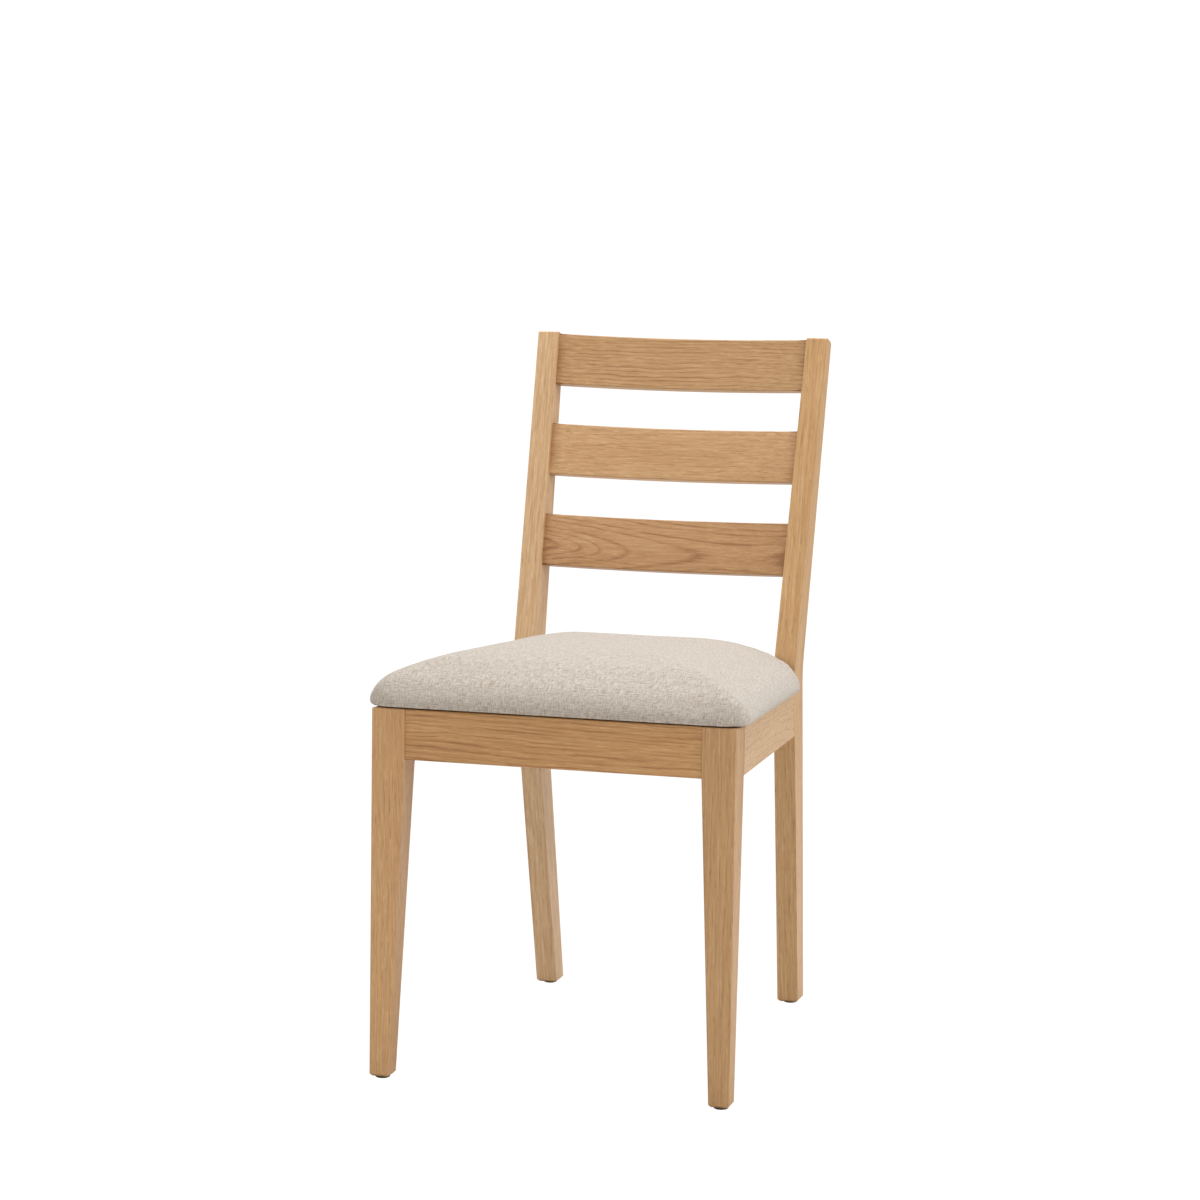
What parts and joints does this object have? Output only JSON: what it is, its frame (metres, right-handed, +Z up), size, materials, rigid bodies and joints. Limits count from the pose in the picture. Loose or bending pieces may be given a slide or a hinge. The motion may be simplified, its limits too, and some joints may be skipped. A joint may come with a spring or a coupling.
{
  "type": "dining chair",
  "caption": "Ladder-back dining chair in pale oak with bowed slats, tapered front legs, raked rear posts and a notched drop-on seat pad in linen-weave fabric.",
  "frame": {"origin": "centre of the footprint box, on the floor under the glides", "axes": "+Z up, -Y the way the sitter faces, +X to the right when the chair is seen from the front"},
  "size_m": [0.4578, 0.5926, 0.8795],
  "materials": {
    "oak": "satin",
    "birch": "matte",
    "plywood": "matte",
    "linen": "matte",
    "foam": "matte",
    "dust_cloth": "matte",
    "glide_plastic": "matte",
    "screw_steel": "satin"
  },
  "bodies": {
    "root": {"front_leg_left": "oak", "front_leg_right": "oak", "rear_post_left": "oak", "rear_post_right": "oak", "front_rail": "oak", "rear_rail": "oak", "side_rail_left": "oak", "side_rail_right": "oak", "slat_top": "oak", "slat_middle": "oak", "slat_bottom": "oak", "corner_block_front_left": "birch", "corner_block_front_right": "birch", "corner_block_rear_left": "birch", "corner_block_rear_right": "birch", "rail_dowels": "birch", "block_screws": "screw_steel", "seat_board": "plywood", "seat_foam": "foam", "seat_cover": "linen", "dust_cover": "dust_cloth", "cover_staples": "screw_steel", "seat_screws": "screw_steel", "glide_front_left": "glide_plastic", "glide_front_right": "glide_plastic", "glide_rear_left": "glide_plastic", "glide_rear_right": "glide_plastic", "glide_nails": "screw_steel"}
  },
  "joints": []
}
